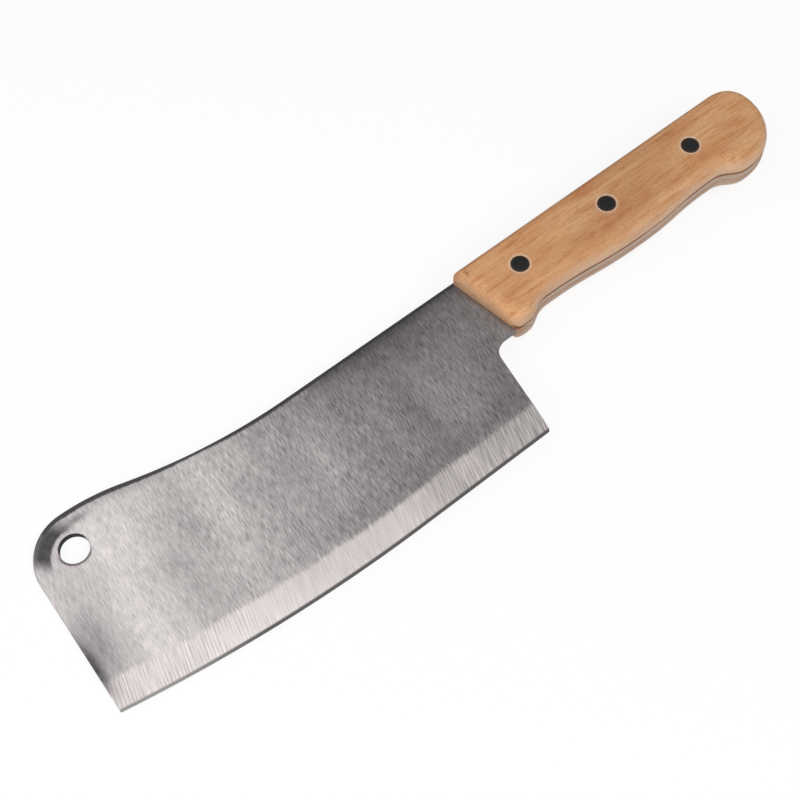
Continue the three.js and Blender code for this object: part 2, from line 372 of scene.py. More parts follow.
def handleLine():  # from the lower front corner round the belly and butt to the upper front
    shape = handleShape
    steps = shape["curveSteps"]
    frontX = shape["lobe"][1] * frontSlope
    points = [(frontX, -shape["lobe"][1])]
    knots = [Vector((x, -depth)) for x, depth in (
        shape["lobe"], shape["hollow"], shape["belly"], shape["waist"], shape["hook"]
    )]
    for knot, nextKnot in zip(knots, knots[1:]):
        middle = (knot.x + nextKnot.x) / 2
        handles = Vector((middle, knot.y)), Vector((middle, nextKnot.y))
        points += interpolate_bezier(knot, *handles, nextKnot, steps)[:-1]
    hook, butt = knots[-1], Vector((shape["butt"][0], -shape["butt"][1]))
    shoulder = Vector((shape["shoulder"], shape["rise"]))
    fullness = shape["fullness"]
    points += interpolate_bezier(
        hook, Vector((hook.x + (butt.x - hook.x) * fullness, hook.y)),
        Vector((butt.x, butt.y + (hook.y - butt.y) * fullness)), butt, steps,
    )[:-1]
    fullness = shape["topFullness"]
    points += interpolate_bezier(
        butt, Vector((butt.x, butt.y + (shoulder.y - butt.y) * fullness)),
        Vector((shoulder.x + (butt.x - shoulder.x) * fullness, shoulder.y)), shoulder, steps,
    )
    points.append((0.0, 0.0))
    clear = frontX + shape["frontRounding"] * 1.15  # room for the rounding at the lower corner
    points = [(point[0], point[1]) for point in points]
    return points[:1] + [point for point in points[1:] if point[0] > clear or point[1] > -1]


def makeScale(name, node, side):  # side is 1 above the steel and -1 below it
    shape = handleShape
    bm = bmesh.new()
    verts, edges = addChain(bm, handleLine(), halfSheet)
    edges.append(bm.edges.new((verts[-1], verts[0])))
    face = bmesh.ops.contextual_create(bm, geom=edges)["faces"][0]
    grown = bmesh.ops.extrude_face_region(bm, geom=[face])["geom"]
    outer = [item for item in grown if isinstance(item, bmesh.types.BMVert)]
    bmesh.ops.translate(bm, verts=outer, vec=(0, 0, scaleFace - halfSheet))
    bm.normal_update()

    weights = bm.edges.layers.float.new("bevel_weight_edge")
    widest = max(shape["bellyRounding"], shape["frontRounding"], shape["spineRounding"])
    for edge in bm.edges:
        start, end = (vert.co for vert in edge.verts)
        middle = (start + end) / 2
        onFront = abs(start.x + start.y * frontSlope) + abs(end.x + end.y * frontSlope) < 0.01
        if abs(start.z - end.z) > 0.1:
            corner = onFront and (shape["topCorner"] if middle.y > -1 else shape["lowCorner"])
            edge[weights] = (corner or 0) / widest
        elif middle.z < halfSheet + 0.1:
            edge[weights] = (shape["innerFront"] if onFront else shape["innerEdge"]) / widest
        elif onFront:
            edge[weights] = shape["frontRounding"] / widest
        else:
            low = ease(
                middle.x, shape["lobe"][0], shape["bellyFull"],
                shape["frontRounding"], shape["bellyRounding"],
            )
            # 1 along the belly, nought at the end of the butt, -1 along the spine
            facing = abs(end.x - start.x) / (end - start).length
            facing *= 1 if middle.y < -shape["butt"][1] else -1
            edge[weights] = ease(facing, -0.9, 0.9, shape["spineRounding"], low) / widest
    bmesh.ops.scale(bm, vec=(1, 1, side), verts=bm.verts)
    scale = makeObject(name, bm)
    addModifier(
        scale, "BEVEL", width=widest * 0.001, limit_method="WEIGHT", offset_type="OFFSET",
        segments=shape["roundingSteps"], profile=0.5, use_clamp_overlap=False,
    )
    applyModifiers(scale)

    bits = bmesh.new()
    shank = rivetShape["tubeRadius"] + rivetShape["shankClearance"]
    recess = rivetShape["headRadius"] + rivetShape["headClearance"]
    soft = rivetShape["rimSoftness"]
    seat = scaleFace - rivetShape["headThickness"]
    beyond = scaleFace + 1
    for x, y in rivetCentres():
        addTurned(bits, (
            (0, 0), (shank, 0), (shank, seat), (recess, seat), (recess, scaleFace - soft),
            (recess + soft, scaleFace), (recess + soft, beyond), (0, beyond),
        ), x, y, rivetShape["turnSteps"])
    bmesh.ops.scale(bits, vec=(1, 1, side), verts=bits.verts)
    cutter = makeObject("scaleDrill", bits)
    cutter.data.materials.append(handleWood)
    scale.data.materials.append(handleWood)
    cutWith(scale, cutter)
    bpy.data.objects.remove(cutter)
    shadeSoft(scale, shape["sharpAngle"])
    joinAssembly(scale, node)
    print(name + ":", len(scale.data.polygons), "faces")


# Rivets, each a tube half above and a pin half below
rivetShape = {
    "places": ("front", "middle", "rear"),
    "first": 19.1,
    "pitch": 36.7,
    "depth": 11.1,
    "headRadius": 3.0,
    "headThickness": 1.8,
    "tubeRadius": 2.1,
    "boreRadius": 1.45,
    "pinRadius": 1.4,
    "headClearance": 0.05,
    "shankClearance": 0.1,
    "tubeEndGap": 1.0,
    "boreFloor": 1.0,
    "pinEndGap": 0.5,
    "rimSoftness": 0.18,
    "dome": 0.06,
    "domeRings": (0.8, 0.55, 0.3),  # shares of the head's radius
    "turnSteps": 64,
    "sharpAngle": 35,
}


def rivetCentres():
    shape = rivetShape
    return [(shape["first"] + at * shape["pitch"], -shape["depth"]) for at in range(len(shape["places"]))]


def makeRivets():
    shape = rivetShape
    seat = scaleFace - shape["headThickness"]
    soft = shape["rimSoftness"]
    head = shape["headRadius"]
    bore = shape["boreRadius"]
    wall = shape["tubeRadius"]
    mouth = shape["tubeEndGap"] - seat
    boreEnd = scaleFace - shape["boreFloor"]
    pinEnd = boreEnd - shape["pinEndGap"]
    cap = [
        (head, seat), (head, scaleFace - soft), (head - soft * 0.3, scaleFace - soft * 0.3),
        (head - soft, scaleFace),
    ]
    for share in shape["domeRings"]:
        cap.append((head * share, scaleFace + shape["dome"] * (1 - share ** 2)))
    cap.append((0, scaleFace + shape["dome"]))
    tube = [(bore, mouth), (wall, mouth), (wall, seat)] + cap
    tube += [(0, boreEnd), (bore, boreEnd), (bore, mouth)]
    pin = [(0, -pinEnd), (shape["pinRadius"], -pinEnd), (shape["pinRadius"], seat)] + cap
    for place, (x, y) in zip(shape["places"], rivetCentres()):
        for half, profile, side in (("tube", tube, 1), ("pin", pin, -1)):
            bm = bmesh.new()
            addTurned(bm, profile, x, y, shape["turnSteps"])
            bmesh.ops.scale(bm, vec=(1, 1, side), verts=bm.verts)
            rivet = makeObject(place + "Rivet" + half.capitalize(), bm)
            rivet.data.materials.append(rivetBlack)
            shadeSoft(rivet, shape["sharpAngle"])
            joinAssembly(rivet, place + "_rivet_" + half)
    print("rivets:", 2 * len(shape["places"]), "halves")


# Node helpers
def addNode(tree, kind, **settings):
    made = tree.nodes.new("ShaderNode" + kind)
    for setting, value in settings.items():
        setattr(made, setting, value)
    return made


def feed(tree, socket, value):
    if isinstance(value, bpy.types.NodeSocket):
        tree.links.new(value, socket)
    elif value is not None:
        socket.default_value = value


def calc(tree, operation, first, second=None, third=None):
    made = addNode(tree, "Math", operation=operation)
    for socket, value in zip(made.inputs, (first, second, third)):
        feed(tree, socket, value)
    return made.outputs[0]


def times(tree, first, second):
    return calc(tree, "MULTIPLY", first, second)


def plus(tree, first, second):
    return calc(tree, "ADD", first, second)


def highest(tree, first, second):
    return calc(tree, "MAXIMUM", first, second)


def partsOf(tree, vector):
    made = addNode(tree, "SeparateXYZ")
    feed(tree, made.inputs[0], vector)
    return made.outputs[0], made.outputs[1], made.outputs[2]


def vectorOf(tree, x, y):
    made = addNode(tree, "CombineXYZ")
    feed(tree, made.inputs[0], x)
    feed(tree, made.inputs[1], y)
    return made.outputs[0]


def remap(tree, value, low, high, newLow=0.0, newHigh=1.0):
    made = addNode(tree, "MapRange", interpolation_type="SMOOTHSTEP")
    for socket, given in zip(made.inputs, (value, low, high, newLow, newHigh)):
        feed(tree, socket, given)
    return made.outputs[0]


def mixColour(tree, share, first, second, mode="MIX"):
    made = addNode(tree, "Mix", data_type="RGBA", blend_type=mode)
    feed(tree, made.inputs[0], share)
    feed(tree, made.inputs[6], first)
    feed(tree, made.inputs[7], second)
    return made.outputs[2]


def noiseOf(tree, vector, size=(1, 1, 1), detail=3.0, roughness=0.5, distortion=0.0, shift=(0, 0, 0)):
    mapping = addNode(tree, "Mapping")  # size: how far one feature runs, in millimetres
    feed(tree, mapping.inputs["Vector"], vector)
    mapping.inputs["Location"].default_value = shift
    mapping.inputs["Scale"].default_value = [1 / side for side in size]
    noise = addNode(tree, "TexNoise")
    feed(tree, noise.inputs["Vector"], mapping.outputs[0])
    noise.inputs["Scale"].default_value = 1
    noise.inputs["Detail"].default_value = detail
    noise.inputs["Roughness"].default_value = roughness
    noise.inputs["Distortion"].default_value = distortion
    return noise.outputs[0]


def linear(red, green, blue):  # a colour as a picture shows it, 0 to 255
    def channel(value):
        share = value / 255
        return share / 12.92 if share <= 0.04045 else ((share + 0.055) / 1.055) ** 2.4
    return channel(red), channel(green), channel(blue), 1.0


def newMaterial(name):
    material = bpy.data.materials.new(name)
    material.use_nodes = True
    tree = material.node_tree
    return material, tree, tree.nodes["Principled BSDF"]


def drawnCoordinates(tree):  # Object coordinates in the drawing's millimetres
    coordinates = addNode(tree, "TexCoord")
    mapping = addNode(tree, "Mapping")
    feed(tree, mapping.inputs["Vector"], coordinates.outputs["Object"])
    mapping.inputs["Location"].default_value = -drawingOrigin * 1000
    mapping.inputs["Scale"].default_value = (1000, 1000, 1000)
    return mapping.outputs[0], coordinates.outputs["Normal"]


def addBump(tree, shader, height, strength, distance):
    bump = addNode(tree, "Bump")
    bump.inputs["Strength"].default_value = strength
    bump.inputs["Distance"].default_value = distance
    feed(tree, bump.inputs["Height"], height)
    feed(tree, shader.inputs["Normal"], bump.outputs[0])


def finishShader(tree, shader, look, colour, roughness, height, metallic=None):
    feed(tree, shader.inputs["Base Color"], colour)
    feed(tree, shader.inputs["Roughness"], roughness)
    feed(tree, shader.inputs["Metallic"], metallic)
    shader.inputs["Specular IOR Level"].default_value = look["specular"]
    addBump(tree, shader, height, *look["bump"])


# Shared effects
def newGroup(name, inputs, output):
    tree = bpy.data.node_groups.new(name, "ShaderNodeTree")
    for socketName in inputs:
        kind = "NodeSocketVector" if socketName in ("Vector", "Normal") else "NodeSocketFloat"
        tree.interface.new_socket(socketName, in_out="INPUT", socket_type=kind)
    tree.interface.new_socket(output, in_out="OUTPUT", socket_type="NodeSocketFloat")
    return tree, tree.nodes.new("NodeGroupInput").outputs, tree.nodes.new("NodeGroupOutput").inputs[0]


def useGroup(tree, group, *values):
    made = addNode(tree, "Group", node_tree=group)
    for socket, value in zip(made.inputs, values):
        feed(tree, socket, value)
    return made.outputs[0]


def offsets(tree, vector, x, y):  # distance from a place along x and along y
    vectorX, vectorY, _ = partsOf(tree, vector)
    return calc(tree, "SUBTRACT", vectorX, x), calc(tree, "SUBTRACT", vectorY, y)


def bell(tree, value):  # 1 at nought, falling off on both sides
    return calc(tree, "EXPONENT", times(tree, times(tree, value, value), -1.0))


def makeSoftSpot():  # a soft oval patch
    tree, given, out = newGroup("softSpot", ("Vector", "X", "Y", "Width", "Height"), "Mask")
    across, along = offsets(tree, given["Vector"], given["X"], given["Y"])
    across = bell(tree, calc(tree, "DIVIDE", across, given["Width"]))
    along = bell(tree, calc(tree, "DIVIDE", along, given["Height"]))
    feed(tree, out, times(tree, across, along))
    return tree


def makeRingMark():  # a soft ring
    tree, given, out = newGroup("ringMark", ("Vector", "X", "Y", "Radius", "Width"), "Mask")
    across, along = offsets(tree, given["Vector"], given["X"], given["Y"])
    square = plus(tree, times(tree, across, across), times(tree, along, along))
    outside = calc(tree, "SUBTRACT", calc(tree, "SQRT", square), given["Radius"])
    feed(tree, out, bell(tree, calc(tree, "DIVIDE", outside, given["Width"])))
    return tree


def makeBrushLines():  # fine lines across the blade
    tree, given, out = newGroup("brushLines", ("Vector", "Width", "Length"), "Tone")
    shares = addNode(tree, "CombineXYZ")
    for socket, size in zip(shares.inputs, ("Width", "Length", "Width")):
        feed(tree, socket, calc(tree, "DIVIDE", 1.0, given[size]))
    stretched = addNode(tree, "VectorMath", operation="MULTIPLY")
    feed(tree, stretched.inputs[0], given["Vector"])
    feed(tree, stretched.inputs[1], shares.outputs[0])
    feed(tree, out, noiseOf(tree, stretched.outputs[0], detail=2.0, roughness=0.5))
    return tree


def makeEdgeSheenAndWear():  # where a face turns away from the flat
    tree, given, out = newGroup("edgeSheenAndWear", ("Vector", "Normal", "Start", "Full"), "Mask")
    _, _, normalZ = partsOf(tree, given["Normal"])
    turned = calc(tree, "SUBTRACT", 1.0, calc(tree, "ABSOLUTE", normalZ))
    rough = noiseOf(tree, given["Vector"], (9, 3, 3), detail=3.0)
    rubbed = times(tree, turned, remap(tree, rough, 0.3, 0.7, 0.6, 1.0))
    feed(tree, out, remap(tree, rubbed, given["Start"], given["Full"]))
    return tree


softSpot = makeSoftSpot()
ringMark = makeRingMark()
brushLines = makeBrushLines()
edgeSheenAndWear = makeEdgeSheenAndWear()


def shadeSpots(tree, vector, tone, spots):  # spots: x, y, width, height and the change in tone
    for x, y, width, height, change in spots:
        spot = useGroup(tree, softSpot, vector, x, y, width, height)
        tone = times(tree, tone, calc(tree, "MULTIPLY_ADD", spot, change, 1.0))
    return tone


def tint(tree, colour, tone):  # a colour made lighter or darker
    grey = addNode(tree, "CombineColor")
    for socket in grey.inputs:
        feed(tree, socket, tone)
    return mixColour(tree, 1.0, colour, grey.outputs[0], "MULTIPLY")


steelLook = {
    "body": (0.637, 0.599, 0.597, 1),
    "bevel": (0.69, 0.64, 0.63, 1),
    "filmAndDarkReflection": linear(46, 44, 48),  # painted dark reflection at the front corner; along the spine partly a dark spine edge, partly painted dark reflection
    # painted reflections on the honed edge: dark, paler towards the front
    "honeDark": (0.075, 0.07, 0.07, 1),
    "honePale": (0.2, 0.195, 0.19, 1),
    "roughness": (0.30, 0.42),
    "specular": 0.2,
    "bump": (0.06, 0.0002),  # strength and distance
    "fineLines": (0.28, 3.2),  # width and length
    "mediumLines": (0.8, 7.0),
    "softBands": (3.4, 20.0),
    "lineLean": 0.12,
    "grindPitch": 1.1,
    "grindLean": 0.26,
    "bandDepth": (1.3, 2.2),  # the spine's dark band is full to the first and gone by the second
    "narrowing": (-98.5, 2.0, 9.0, 30.0),  # x, y, width, height
    "darkReflectionSpots": (  # painted dark reflections: x, y, width, height, strength
        (-140.5, 6.6, 4.5, 1.4, 0.55),
        (-146.0, 6.4, 3.5, 1.9, 0.8),
        (-160.8, -35.5, 2.2, 10.0, 1.0),
    ),
    "lightFall": (0.71, 0.375),  # painted shade: tone at the front and at the handle, darker where less light falls
    "spots": (  # painted reflections and shade: x, y, width, height, change in tone
        (-155.6, -31.5, 4.6, 13.0, -0.42),
        (-154.0, -14.0, 9.0, 30.0, -0.13),
        (-148.0, -38.0, 5.0, 8.0, -0.08),
        (-140.0, -14.0, 5.0, 22.0, 0.1),
        (-131.0, -3.0, 7.0, 12.0, 0.14),
        (-120.0, -3.0, 6.0, 10.0, 0.12),
        (-124.0, -34.0, 5.0, 14.0, -0.17),
        (-127.0, -24.0, 4.0, 4.0, -0.14),
        (-114.0, -18.0, 3.0, 7.0, -0.14),
        (-107.0, -30.0, 5.0, 12.0, 0.17),
        (-102.5, -4.0, 6.0, 18.0, 0.26),
        (-89.0, -6.0, 9.0, 12.0, 0.16),
        (-78.0, -8.0, 8.0, 10.0, 0.08),
        (-69.0, -24.0, 5.0, 12.0, 0.18),
        (-101.0, -28.0, 5.0, 14.0, 0.07),
        (-116.0, -46.0, 14.0, 4.0, -0.1),
        (-143.0, -38.0, 5.0, 10.0, 0.07),
        (-32.0, -2.0, 30.0, 10.0, -0.38),
        (-37.0, -20.0, 5.5, 40.0, -0.13),
        (-25.0, -33.0, 8.0, 14.0, 0.18),
        (-14.0, -45.0, 6.0, 5.0, -0.12),
        (-50.0, -47.0, 45.0, 5.0, -0.16),
    ),
    # painted reflections and shade on the bevel: x, y, width, height, change in tone
    "bevelSpots": (
        (-36.0, -54.0, 5.0, 6.0, 0.16),
        (-95.0, -54.0, 14.0, 9.0, -0.05),
        (-152.0, -54.0, 9.0, 9.0, -0.06),
        (-118.0, -54.0, 22.0, 9.0, 0.1),
    ),
}


def makeSteelBody():
    look = steelLook
    material, tree, shader = newMaterial("brushedSteel")
    vector, _ = drawnCoordinates(tree)
    x, y, _ = partsOf(tree, vector)
    leaning = vectorOf(tree, calc(tree, "MULTIPLY_ADD", y, -look["lineLean"], x), y)
    fine = useGroup(tree, brushLines, leaning, *look["fineLines"])
    medium = useGroup(tree, brushLines, leaning, *look["mediumLines"])
    bands = useGroup(tree, brushLines, vector, *look["softBands"])
    mottle = noiseOf(tree, vector, (2.4, 3.2, 2.4), detail=4.0, roughness=0.6)
    cloud = noiseOf(tree, vector, (15, 24, 15), detail=3.0, roughness=0.55)
    scratch = noiseOf(tree, leaning, (0.3, 3.0, 0.3), detail=1.0, shift=(4.4, 1.9, 6.2))
    grain = remap(tree, fine, 0.25, 0.75, -0.28, 0.28)
    grain = plus(tree, grain, remap(tree, medium, 0.3, 0.7, -0.06, 0.06))
    grain = plus(tree, grain, remap(tree, bands, 0.3, 0.7, -0.055, 0.055))
    grain = plus(tree, grain, remap(tree, mottle, 0.3, 0.7, -0.04, 0.04))
    grain = plus(tree, grain, remap(tree, scratch, 0.66, 0.76, -0.02, 0.22))
    grain = times(tree, grain, remap(tree, x, -150.0, -50.0, 0.85, 1.25))
    tone = plus(tree, plus(tree, grain, 1.0), remap(tree, cloud, 0.3, 0.7, -0.05, 0.05))
    # painted shade: the blade grows darker from the front towards the handle
    tone = times(tree, tone, remap(tree, x, -165.0, 0.0, *look["lightFall"]))
    # painted reflections and shade in soft patches
    tone = shadeSpots(tree, vector, tone, look["spots"])

    # Dark band along the spine, partly a dark spine edge and partly painted dark reflection, narrower
    # where the crest begins and softer towards the handle, with painted shade near the handle, and
    # painted dark reflections at the front
    depth = addNode(tree, "Attribute", attribute_name="spineDepth").outputs["Fac"]
    ragged = plus(tree, depth, remap(tree, medium, 0.3, 0.7, -0.1, 0.1))
    narrow = useGroup(tree, softSpot, vector, *look["narrowing"])
    ragged = calc(tree, "MULTIPLY_ADD", narrow, 0.4, ragged)
    ragged = plus(tree, ragged, remap(tree, x, -130.0, -105.0, 0.0, 0.3))
    filmAndDarkReflection = remap(tree, ragged, *look["bandDepth"], 0.95, 0.0)
    filmAndDarkReflection = times(tree, filmAndDarkReflection, remap(tree, x, -157.0, -150.0))
    # painted shade: a soft dark gradient along the spine near the handle
    tail = times(tree, remap(tree, depth, 1.0, 5.4, 0.62, 0.0), remap(tree, x, -62.0, -52.0))
    filmAndDarkReflection = highest(tree, filmAndDarkReflection, tail)
    crest = times(tree, remap(tree, x, -146.0, -136.0), remap(tree, x, -118.0, -106.0, 1.0, 0.0))
    crest = times(tree, crest, remap(tree, depth, 1.5, 5.5, 0.22, 0.0))
    filmAndDarkReflection = highest(tree, filmAndDarkReflection, crest)
    # painted dark reflection over the front corner and in spots there
    diagonal = plus(tree, x, y)
    patch = remap(tree, diagonal, -160.5, -153.0)
    patch = times(tree, patch, remap(tree, diagonal, -143.0, -131.0, 1.0, 0.0))
    patch = times(tree, patch, remap(tree, depth, 5.0, 5.95, 1.0, 0.0))
    patch = times(tree, patch, remap(tree, depth, 0.0, 2.5, 0.8, 1.0))
    patch = times(tree, patch, remap(tree, mottle, 0.2, 0.8, 0.85, 1.0))
    filmAndDarkReflection = highest(tree, filmAndDarkReflection, patch)
    for spotX, spotY, width, height, strength in look["darkReflectionSpots"]:
        spot = useGroup(tree, softSpot, vector, spotX, spotY, width, height)
        spot = times(tree, spot, remap(tree, mottle, 0.2, 0.8, strength * 0.8, strength * 1.1))
        filmAndDarkReflection = highest(tree, filmAndDarkReflection, spot)
    filmAndDarkReflection = calc(tree, "MINIMUM", filmAndDarkReflection, 1.0)
    rim = useGroup(tree, ringMark, vector, *holeCentre, bladeShape["holeRadius"] + 0.8, 0.5)
    filmAndDarkReflection = times(tree, filmAndDarkReflection, calc(tree, "MULTIPLY_ADD", rim, -0.8, 1.0))
    across, along = offsets(tree, vector, *holeCentre)
    # painted shade on the hole's chamfer, on the side towards the cutting edge and the front
    lip = useGroup(tree, ringMark, vector, *holeCentre, bladeShape["holeRadius"] + 0.3, 0.5)
    lower = calc(tree, "MULTIPLY_ADD", across, -0.4, times(tree, along, -1.0))
    lip = times(tree, lip, remap(tree, lower, 0.0, 3.5, 0.0, 0.85))
    filmAndDarkReflection = highest(tree, filmAndDarkReflection, lip)

    # Ground bevel, with lines across it, and the honed edge
    height = addNode(tree, "Attribute", attribute_name="edgeHeight").outputs["Fac"]
    slant = calc(tree, "MULTIPLY_ADD", height, -look["grindLean"], x)
    slanted = vectorOf(tree, slant, height)
    jagged = noiseOf(tree, slanted, (0.5, 12, 3), detail=2.0)
    slow = noiseOf(tree, vector, (16, 40, 16), detail=1.0)
    border = plus(tree, height, remap(tree, jagged, 0.3, 0.7, -0.5, 0.5))
    border = plus(tree, border, remap(tree, slow, 0.3, 0.7, -0.4, 0.4))
    bevelTop = bladeShape["bevelHeight"]
    bevelMask = remap(tree, border, bevelTop - 0.9, bevelTop + 0.8, 1.0, 0.0)
    sway = noiseOf(tree, slanted, (4, 30, 4), detail=1.0)
    phase = calc(tree, "MULTIPLY_ADD", slant, math.tau / look["grindPitch"], times(tree, sway, 7.0))
    even = remap(tree, calc(tree, "SINE", phase), 0.2, 1.0)
    even = times(tree, even, remap(tree, x, -122.0, -108.0, 1.0, 0.3))
    strength = remap(tree, noiseOf(tree, vector, (7, 9, 7), detail=2.0), 0.35, 0.65, 0.05, 0.3)
    rough = noiseOf(tree, slanted, (0.34, 9, 2), detail=2.0, shift=(2.7, 0.4, 8.8))
    grindTone = calc(tree, "SUBTRACT", 1.02, times(tree, even, strength))
    coarse = remap(tree, x, -70.0, -30.0, 0.12, 0.38)
    coarse = plus(tree, coarse, remap(tree, x, -145.0, -125.0, 0.08, 0.0))
    grindTone = calc(tree, "MULTIPLY_ADD", remap(tree, rough, 0.25, 0.75, 1.0, -1.0), coarse, grindTone)
    # painted shade: the bevel darker towards the handle, then painted reflections and shade in patches
    grindTone = times(tree, grindTone, remap(tree, x, -64.0, -42.0, 0.785, 0.57))
    grindTone = shadeSpots(tree, vector, grindTone, look["bevelSpots"])
    flatTone = times(tree, tone, calc(tree, "SUBTRACT", 1.0, bevelMask))
    tone = plus(tree, times(tree, grindTone, bevelMask), flatTone)
    colour = tint(tree, mixColour(tree, bevelMask, look["body"], look["bevel"]), tone)
    colour = mixColour(tree, filmAndDarkReflection, colour, look["filmAndDarkReflection"])
    # painted dark reflection on the honed edge, paler towards the front
    towardsFront = remap(tree, x, -150.0, -112.0, 1.0, 0.0)
    honeTop = calc(tree, "MULTIPLY_ADD", towardsFront, -0.1, bladeShape["honeHeight"] * 1.4)
    honeMask = remap(tree, height, calc(tree, "SUBTRACT", honeTop, 0.7), honeTop, 1.0, 0.0)
    honed = mixColour(tree, towardsFront, look["honeDark"], look["honePale"])
    colour = mixColour(tree, honeMask, colour, honed)
    metal = calc(tree, "MULTIPLY_ADD", bevelMask, -0.5, 1.0)
    metal = times(tree, metal, calc(tree, "SUBTRACT", 1.0, filmAndDarkReflection))
    roughness = remap(tree, fine, 0.3, 0.7, *look["roughness"])
    finishShader(tree, shader, look, colour, roughness, plus(tree, fine, medium), metal)
    return material


spineLook = {
    # the spine edge: partly dark steel, partly painted dark reflection on its rounding
    "dark": linear(42, 41, 43),
    "wornAndSheen": linear(74, 73, 73),
    "bare": linear(122, 117, 116),  # at the neck and heel
    # painted shade inside the hole
    "hole": linear(30, 28, 29),
    "pale": linear(160, 157, 157),  # at the foot of the front corner
    "lines": (4.0, 0.6),  # width and length
    "roughness": 0.6,
    "specular": 0.15,
    "bump": (0.1, 0.0002),
}


def makeSteelSpine():
    look = spineLook
    material, tree, shader = newMaterial("darkSpine")
    vector, _ = drawnCoordinates(tree)
    lines = useGroup(tree, brushLines, vector, *look["lines"])
    colour = mixColour(tree, remap(tree, lines, 0.5, 0.8, 0.0, 0.8), look["dark"], look["wornAndSheen"])
    x, y, z = partsOf(tree, vector)
    colour = mixColour(tree, remap(tree, y, -20.0, -12.0, 1.0, 0.0), colour, look["bare"])
    colour = mixColour(tree, remap(tree, x, -158.5, -153.0, 1.0, 0.0), colour, look["pale"])
    # painted shade on the hole's upper wall
    hole = useGroup(tree, ringMark, vector, *holeCentre, bladeShape["holeRadius"], 1.0)
    _, along = offsets(tree, vector, *holeCentre)
    shaded = times(tree, remap(tree, z, -1.3, -0.9), remap(tree, along, 0.4, 1.8))
    wall = mixColour(tree, shaded, look["pale"], look["hole"])
    colour = mixColour(tree, hole, colour, wall)
    finishShader(tree, shader, look, colour, look["roughness"], lines)
    return material


tangLook = {
    # painted reflection of the wood: the steel edge's pinkish tones
    "clean": linear(174, 155, 137),
    "warmReflection": linear(174, 150, 128),
    "lines": (6.0, 0.8),
    "roughness": 0.5,
    "metallic": 0.2,
    "specular": 0.5,
    "bump": (0.1, 0.0002),
}


def makeSteelTang():
    look = tangLook
    material, tree, shader = newMaterial("tangEdge")
    vector, _ = drawnCoordinates(tree)
    lines = useGroup(tree, brushLines, vector, *look["lines"])
    colour = mixColour(tree, remap(tree, lines, 0.35, 0.7), look["clean"], look["warmReflection"])
    finishShader(tree, shader, look, colour, look["roughness"], lines, look["metallic"])
    return material


woodLook = {
    "pale": linear(216, 172, 128),
    "mid": linear(200, 151, 106),
    "deep": linear(186, 125, 80),
    # grain streaks and pores, and painted shade towards the spine
    "streakAndShade": linear(170, 98, 52),
    "pink": linear(207, 148, 110),
    # painted highlight along the rounded edges, with some wear
    "wornAndSheen": linear(196, 167, 142),
    "joint": linear(116, 72, 52),
    "rim": linear(134, 106, 86),  # along the spine and the butt
    "ring": linear(214, 200, 186),
    # painted shade on the lower scale
    "under": linear(178, 158, 142),
    "mark": linear(118, 76, 44),
    "sheenAndWear": (0.03, 0.7),  # how far a face has turned where the painted highlight and wear start and where they are full
    "roughness": (0.48, 0.62),
    "specular": 0.15,
    "bump": (0.12, 0.0002),
    "markPlace": (3.6, -3.0, 0.55, 1.2),  # x, y, width, height
    "spots": (  # the first is painted light on the lower front corner, the rest tone: x, y, width, height, change in tone
        (2.6, -24.5, 3.6, 5.5, 0.5),
        (1.5, -1.5, 7.0, 6.0, -0.06),
        (62.0, -12.0, 20.0, 9.0, -0.12),
        (76.0, -3.0, 22.0, 3.0, -0.12),
        (62.0, -20.0, 50.0, 5.0, -0.02),
    ),
    "streaks": (  # x, y, length, width, strength
        (27.0, -4.5, 13.0, 1.3, 0.45),
        (53.0, -3.6, 9.0, 1.3, 0.5),
        (72.0, -3.6, 8.0, 1.1, 0.5),
        (92.0, -4.4, 9.0, 1.2, 0.45),
        (57.0, -17.0, 26.0, 4.2, 0.6),
        (92.0, -18.0, 16.0, 3.6, 0.45),
        (12.0, -18.0, 5.5, 1.1, 0.75),
        (29.0, -18.4, 8.0, 0.8, 0.5),
        (38.5, -15.6, 4.5, 1.0, 0.6),
        (45.5, -16.4, 5.0, 1.3, 0.6),
        (52.5, -14.6, 5.0, 1.1, 0.75),
        (60.5, -17.2, 4.5, 1.1, 0.7),
        (66.0, -13.6, 6.0, 1.6, 0.5),
        (71.0, -16.8, 7.0, 1.0, 0.45),
        (81.0, -18.6, 6.0, 0.9, 0.55),
        (90.0, -14.4, 7.0, 0.8, 0.45),
        (100.0, -16.2, 8.0, 1.1, 0.4),
        (109.0, -12.6, 6.0, 0.9, 0.35),
    ),
}


